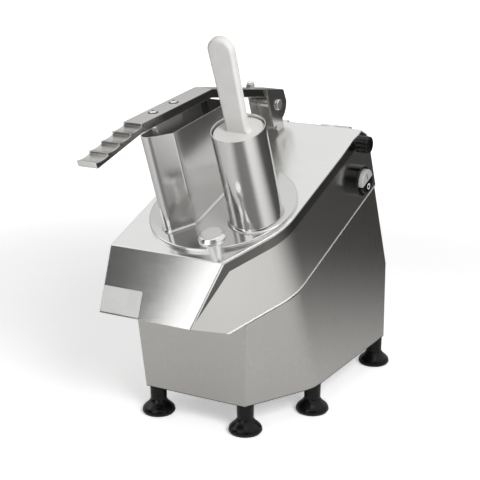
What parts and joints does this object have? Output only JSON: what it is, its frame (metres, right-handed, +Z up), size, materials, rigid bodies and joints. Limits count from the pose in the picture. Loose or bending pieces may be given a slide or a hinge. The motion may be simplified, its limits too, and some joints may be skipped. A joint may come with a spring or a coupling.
{
  "type": "vegetable cutting machine",
  "caption": "Bench-top stainless vegetable cutting machine: sloping hinged lid with round feed tube, long hopper with press lever, slicing disc, front discharge, push button, rubber feet.",
  "frame": {"origin": "on the bench, under the middle of the machine's outer box", "axes": "+X to the machine's right as the user faces it, +Y to its back, +Z up"},
  "size_m": [0.258, 0.6164, 0.5729],
  "materials": {
    "housing_steel": "brushed stainless sheet",
    "lid_steel": "fine brushed stainless sheet",
    "tube_steel": "polished stainless tube",
    "inner_steel": "satin stainless sheet",
    "plated_steel": "zinc-plated sheet",
    "polished_steel": "polished stainless",
    "bright_steel": "turned steel",
    "disc_aluminium": "cast and turned",
    "ground_steel": "ground edge",
    "cast_aluminium": "die cast",
    "white_plastic": "moulded off-white food plastic",
    "black_rubber": "moulded rubber",
    "belt_rubber": "matt rubber",
    "black_plastic": "moulded black plastic",
    "grey_plastic": "moulded light grey plastic"
  },
  "bodies": {
    "base": {"base_housing": "housing_steel", "bottom_plate": "plated_steel", "rear_cover": "housing_steel", "cable_gland": "black_plastic", "rubber_feet": "black_rubber", "foot_screws": "bright_steel", "upper_housing": "housing_steel", "seam_frame": "inner_steel", "chamber_tray": "inner_steel", "discharge_chute": "inner_steel", "motor_shelf": "plated_steel", "motor_body": "cast_aluminium", "drive_belt": "belt_rubber", "bearing_case": "cast_aluminium", "lower_bearing": "bright_steel", "upper_bearing": "bright_steel", "shaft_seal": "belt_rubber", "capacitor": "grey_plastic", "hinge_brackets": "inner_steel", "hinge_pin": "bright_steel", "switch_housing": "black_plastic", "contact_block": "black_plastic", "safety_sensor": "black_plastic"},
    "cutting_set": {"cutting_disc": "disc_aluminium", "slicing_blades": "ground_steel", "blade_screws": "bright_steel", "ejector_plate": "disc_aluminium", "drive_shaft": "bright_steel", "driven_pulley": "cast_aluminium"},
    "motor_rotor": {"motor_shaft": "bright_steel", "motor_pulley": "cast_aluminium"},
    "lid": {"lid_cover": "lid_steel", "lid_flanges": "housing_steel", "lid_raised_disc": "lid_steel", "round_tube": "tube_steel", "tube_collar": "tube_steel", "large_hopper": "tube_steel", "pivot_lug": "polished_steel", "lever_pivot_pin": "bright_steel", "lid_hinge": "lid_steel", "lid_magnet": "grey_plastic"},
    "plunger": {"plunger_body": "white_plastic", "plunger_handle": "white_plastic"},
    "lever": {"lever_bar": "polished_steel", "lever_fork": "polished_steel", "lever_screws": "bright_steel", "lever_cap_nut": "bright_steel", "pusher_web": "inner_steel", "pusher_plate": "inner_steel"},
    "lid_lock": {"lock_knob": "polished_steel", "lock_spindle": "bright_steel", "lock_cam": "bright_steel"},
    "side_clamp": {"side_clamp_knob": "black_plastic", "clamp_screw": "bright_steel"},
    "start_button": {"start_button": "grey_plastic"},
    "stop_button": {"stop_button": "black_plastic"}
  },
  "joints": [
    {"name": "lid_hinge", "type": "hinge", "parent": "base", "child": "lid", "pos_m": [-0.0047, 0.20861, 0.39117], "axis": [-1, 0, 0], "range_deg": [0, 70]},
    {"name": "lever_hinge", "type": "hinge", "parent": "lid", "child": "lever", "pos_m": [-0.0379, 0.15192, 0.43143], "axis": [-1, 0, 0], "range_deg": [0, 60]},
    {"name": "plunger_slide", "type": "slide", "parent": "lid", "child": "plunger", "axis": [0, -0.3584, 0.9336], "range_m": [0, 0.15]},
    {"name": "lock_turn", "type": "hinge", "parent": "lid", "child": "lid_lock", "pos_m": [0.0463, -0.14283, 0.27983], "axis": [0, 0.3584, -0.9336], "range_deg": [0, 90]},
    {"name": "clamp_turn", "type": "hinge", "parent": "lid", "child": "side_clamp", "pos_m": [0.1041, 0.15429, 0.38478], "axis": [1, 0, 0], "range_deg": [0, 270]},
    {"name": "disc_spin", "type": "hinge", "parent": "base", "child": "cutting_set", "pos_m": [-0.0032, -0.0391, 0.31376], "axis": [0, -0.3584, 0.9336], "continuous": true},
    {"name": "motor_spin", "type": "hinge", "parent": "base", "child": "motor_rotor", "pos_m": [-0.0032, 0.17656, 0.23747], "axis": [0, -0.3584, 0.9336], "continuous": true},
    {"name": "start_press", "type": "slide", "parent": "base", "child": "start_button", "axis": [-1, 0, 0], "range_m": [0, 0.003], "stiffness_N_per_m": 600},
    {"name": "stop_press", "type": "slide", "parent": "base", "child": "stop_button", "axis": [-1, 0, 0], "range_m": [0, 0.003], "stiffness_N_per_m": 600}
  ],
  "couplings": [
    {"joint": "motor_spin", "follows": "disc_spin", "ratio": 4.5714}
  ]
}
